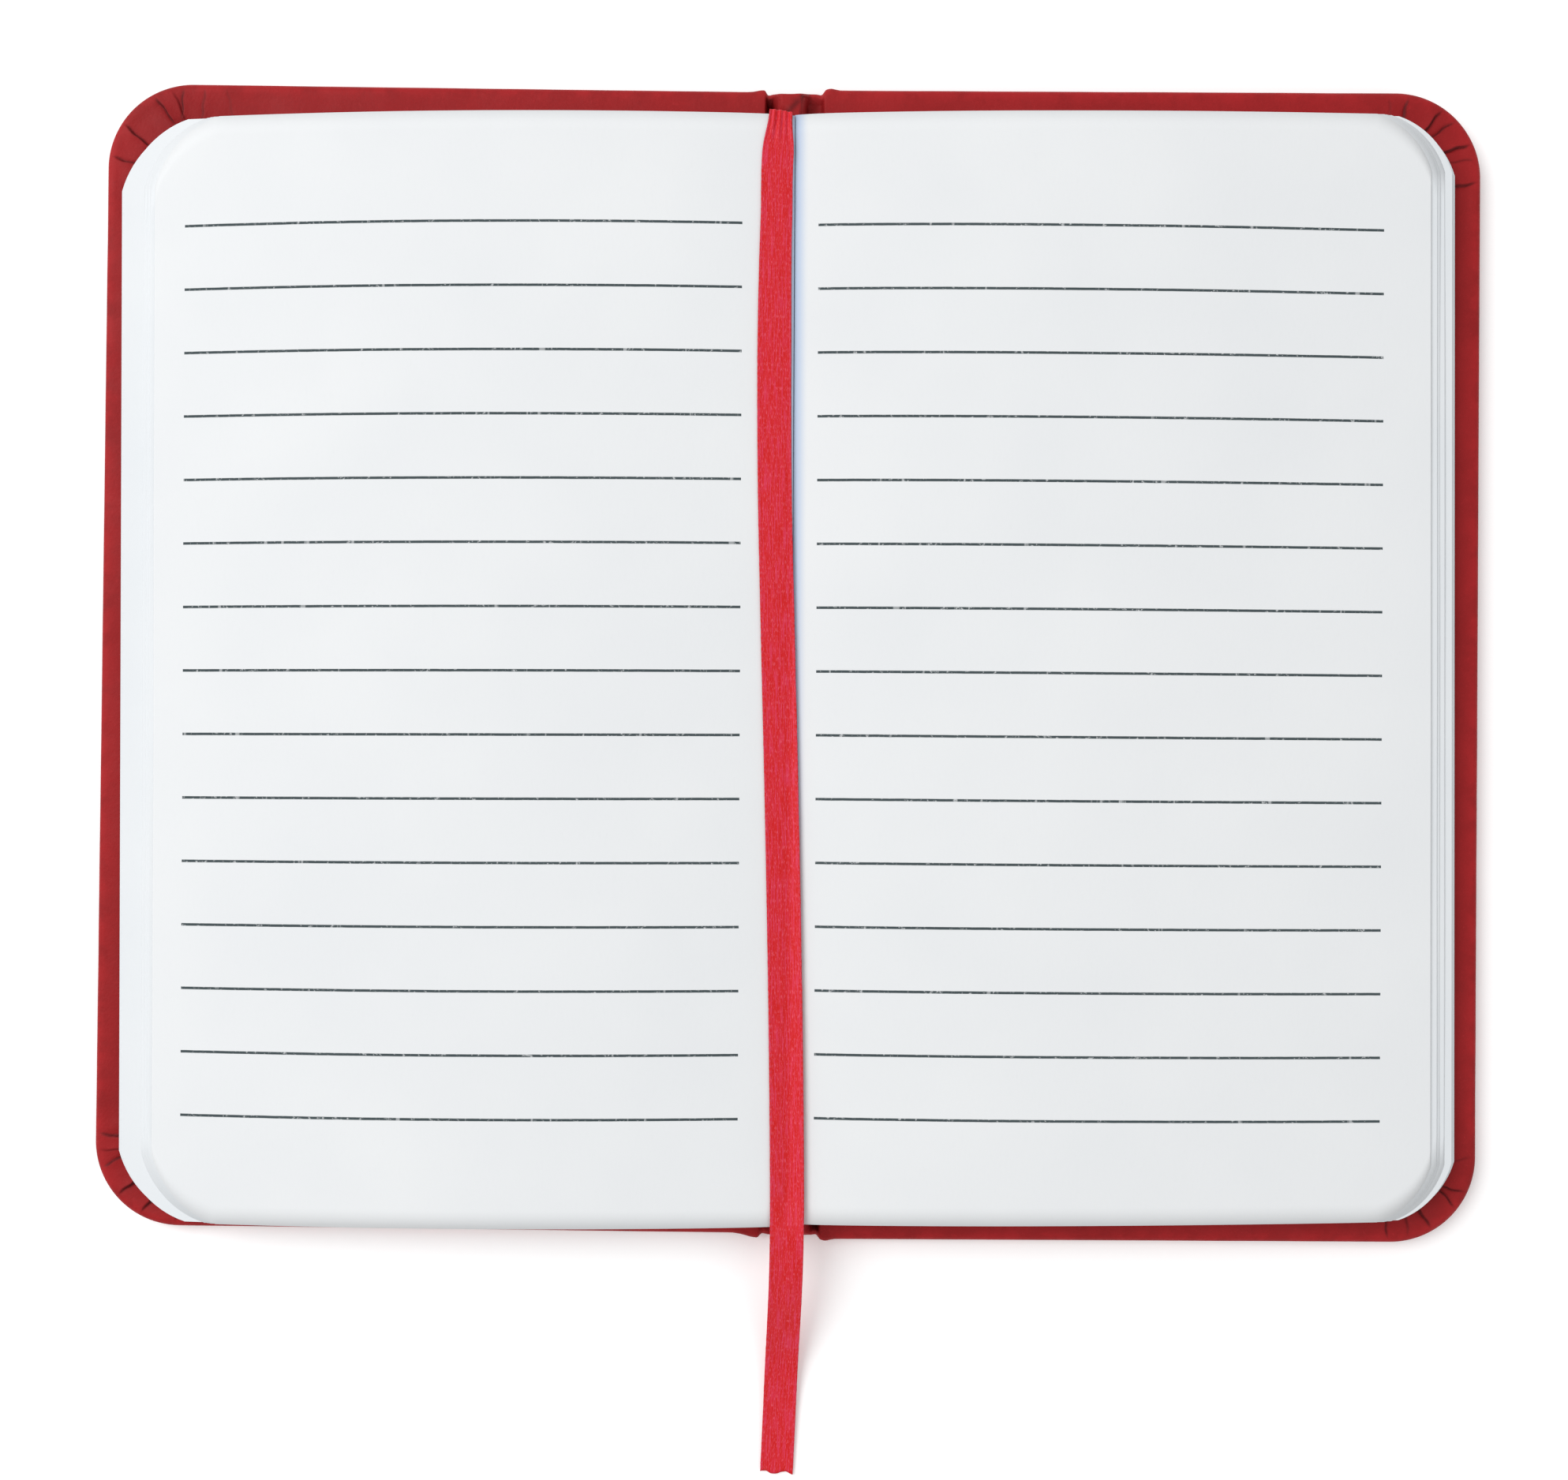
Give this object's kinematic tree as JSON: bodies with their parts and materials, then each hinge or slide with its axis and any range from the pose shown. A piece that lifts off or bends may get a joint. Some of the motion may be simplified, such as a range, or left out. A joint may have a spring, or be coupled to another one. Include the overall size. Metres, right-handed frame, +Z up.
{
  "type": "pocket notebook",
  "caption": "Hardback pocket notebook lying open at a middle spread, with a soft spine, rounded corners, lined pages and a ribbon marker.",
  "frame": {"origin": "on the surface under the open book, below the gutter, midway between the head and tail of the covers", "axes": "+X across the spread from the front cover to the back cover, +Y towards the head of the pages, +Z up"},
  "size_m": [0.1516, 0.1535, 0.008],
  "materials": {
    "leatherette": "matte, fine grain, rubbed brighter on the edges",
    "greyboard": "dense bookbinder's board",
    "endpaper": "uncoated",
    "ruled_paper": "uncoated, with thin dark ruled lines",
    "mull": "thin open-weave cloth",
    "thread": "waxed thread",
    "ribbon": "satin"
  },
  "bodies": {
    "back_cover": {"back_board": "greyboard", "back_cover_skin": "leatherette", "back_pastedown": "endpaper", "spine_skin": "leatherette", "spine_lining": "mull"},
    "front_cover": {"front_board": "greyboard", "front_cover_skin": "leatherette", "front_pastedown": "endpaper"},
    "left_pages": {"front_flyleaf": "endpaper", "section_1": "ruled_paper", "section_2": "ruled_paper", "section_3": "ruled_paper", "section_4": "ruled_paper", "front_upper_leaves": "ruled_paper", "left_leaf": "ruled_paper", "front_sewing_thread": "thread", "ribbon_anchor": "ribbon", "ribbon_marker": "ribbon"},
    "right_pages": {"back_flyleaf": "endpaper", "section_5": "ruled_paper", "section_6": "ruled_paper", "section_7": "ruled_paper", "section_8": "ruled_paper", "back_upper_leaves": "ruled_paper", "back_sewing_thread": "thread"},
    "right_leaf": {"right_leaf": "ruled_paper"},
    "ribbon_tail": {"ribbon_tail": "ribbon"}
  },
  "joints": [
    {"name": "front_cover_hinge", "type": "hinge", "parent": "back_cover", "child": "front_cover", "pos_m": [0, 0, 0.0078], "axis": [0, 1, 0], "range_deg": [0, 179.5], "deforming": ["spine_skin", "spine_lining"]},
    {"name": "left_pages_lift", "type": "hinge", "parent": "front_cover", "child": "left_pages", "pos_m": [0, 0, 0.0078], "axis": [0, -1, 0], "range_deg": [-10, 0]},
    {"name": "right_pages_lift", "type": "hinge", "parent": "back_cover", "child": "right_pages", "pos_m": [0, 0, 0.0078], "axis": [0, 1, 0], "range_deg": [-10, 0]},
    {"name": "right_leaf_turn", "type": "hinge", "parent": "right_pages", "child": "right_leaf", "pos_m": [0, 0, 0.0078], "axis": [0, 1, 0], "range_deg": [-156, 0]},
    {"name": "ribbon_tail_lift", "type": "hinge", "parent": "left_pages", "child": "ribbon_tail", "pos_m": [-0.00025, -0.05875, 0.00737], "axis": [-1, 0, 0], "range_deg": [0, 35]}
  ]
}
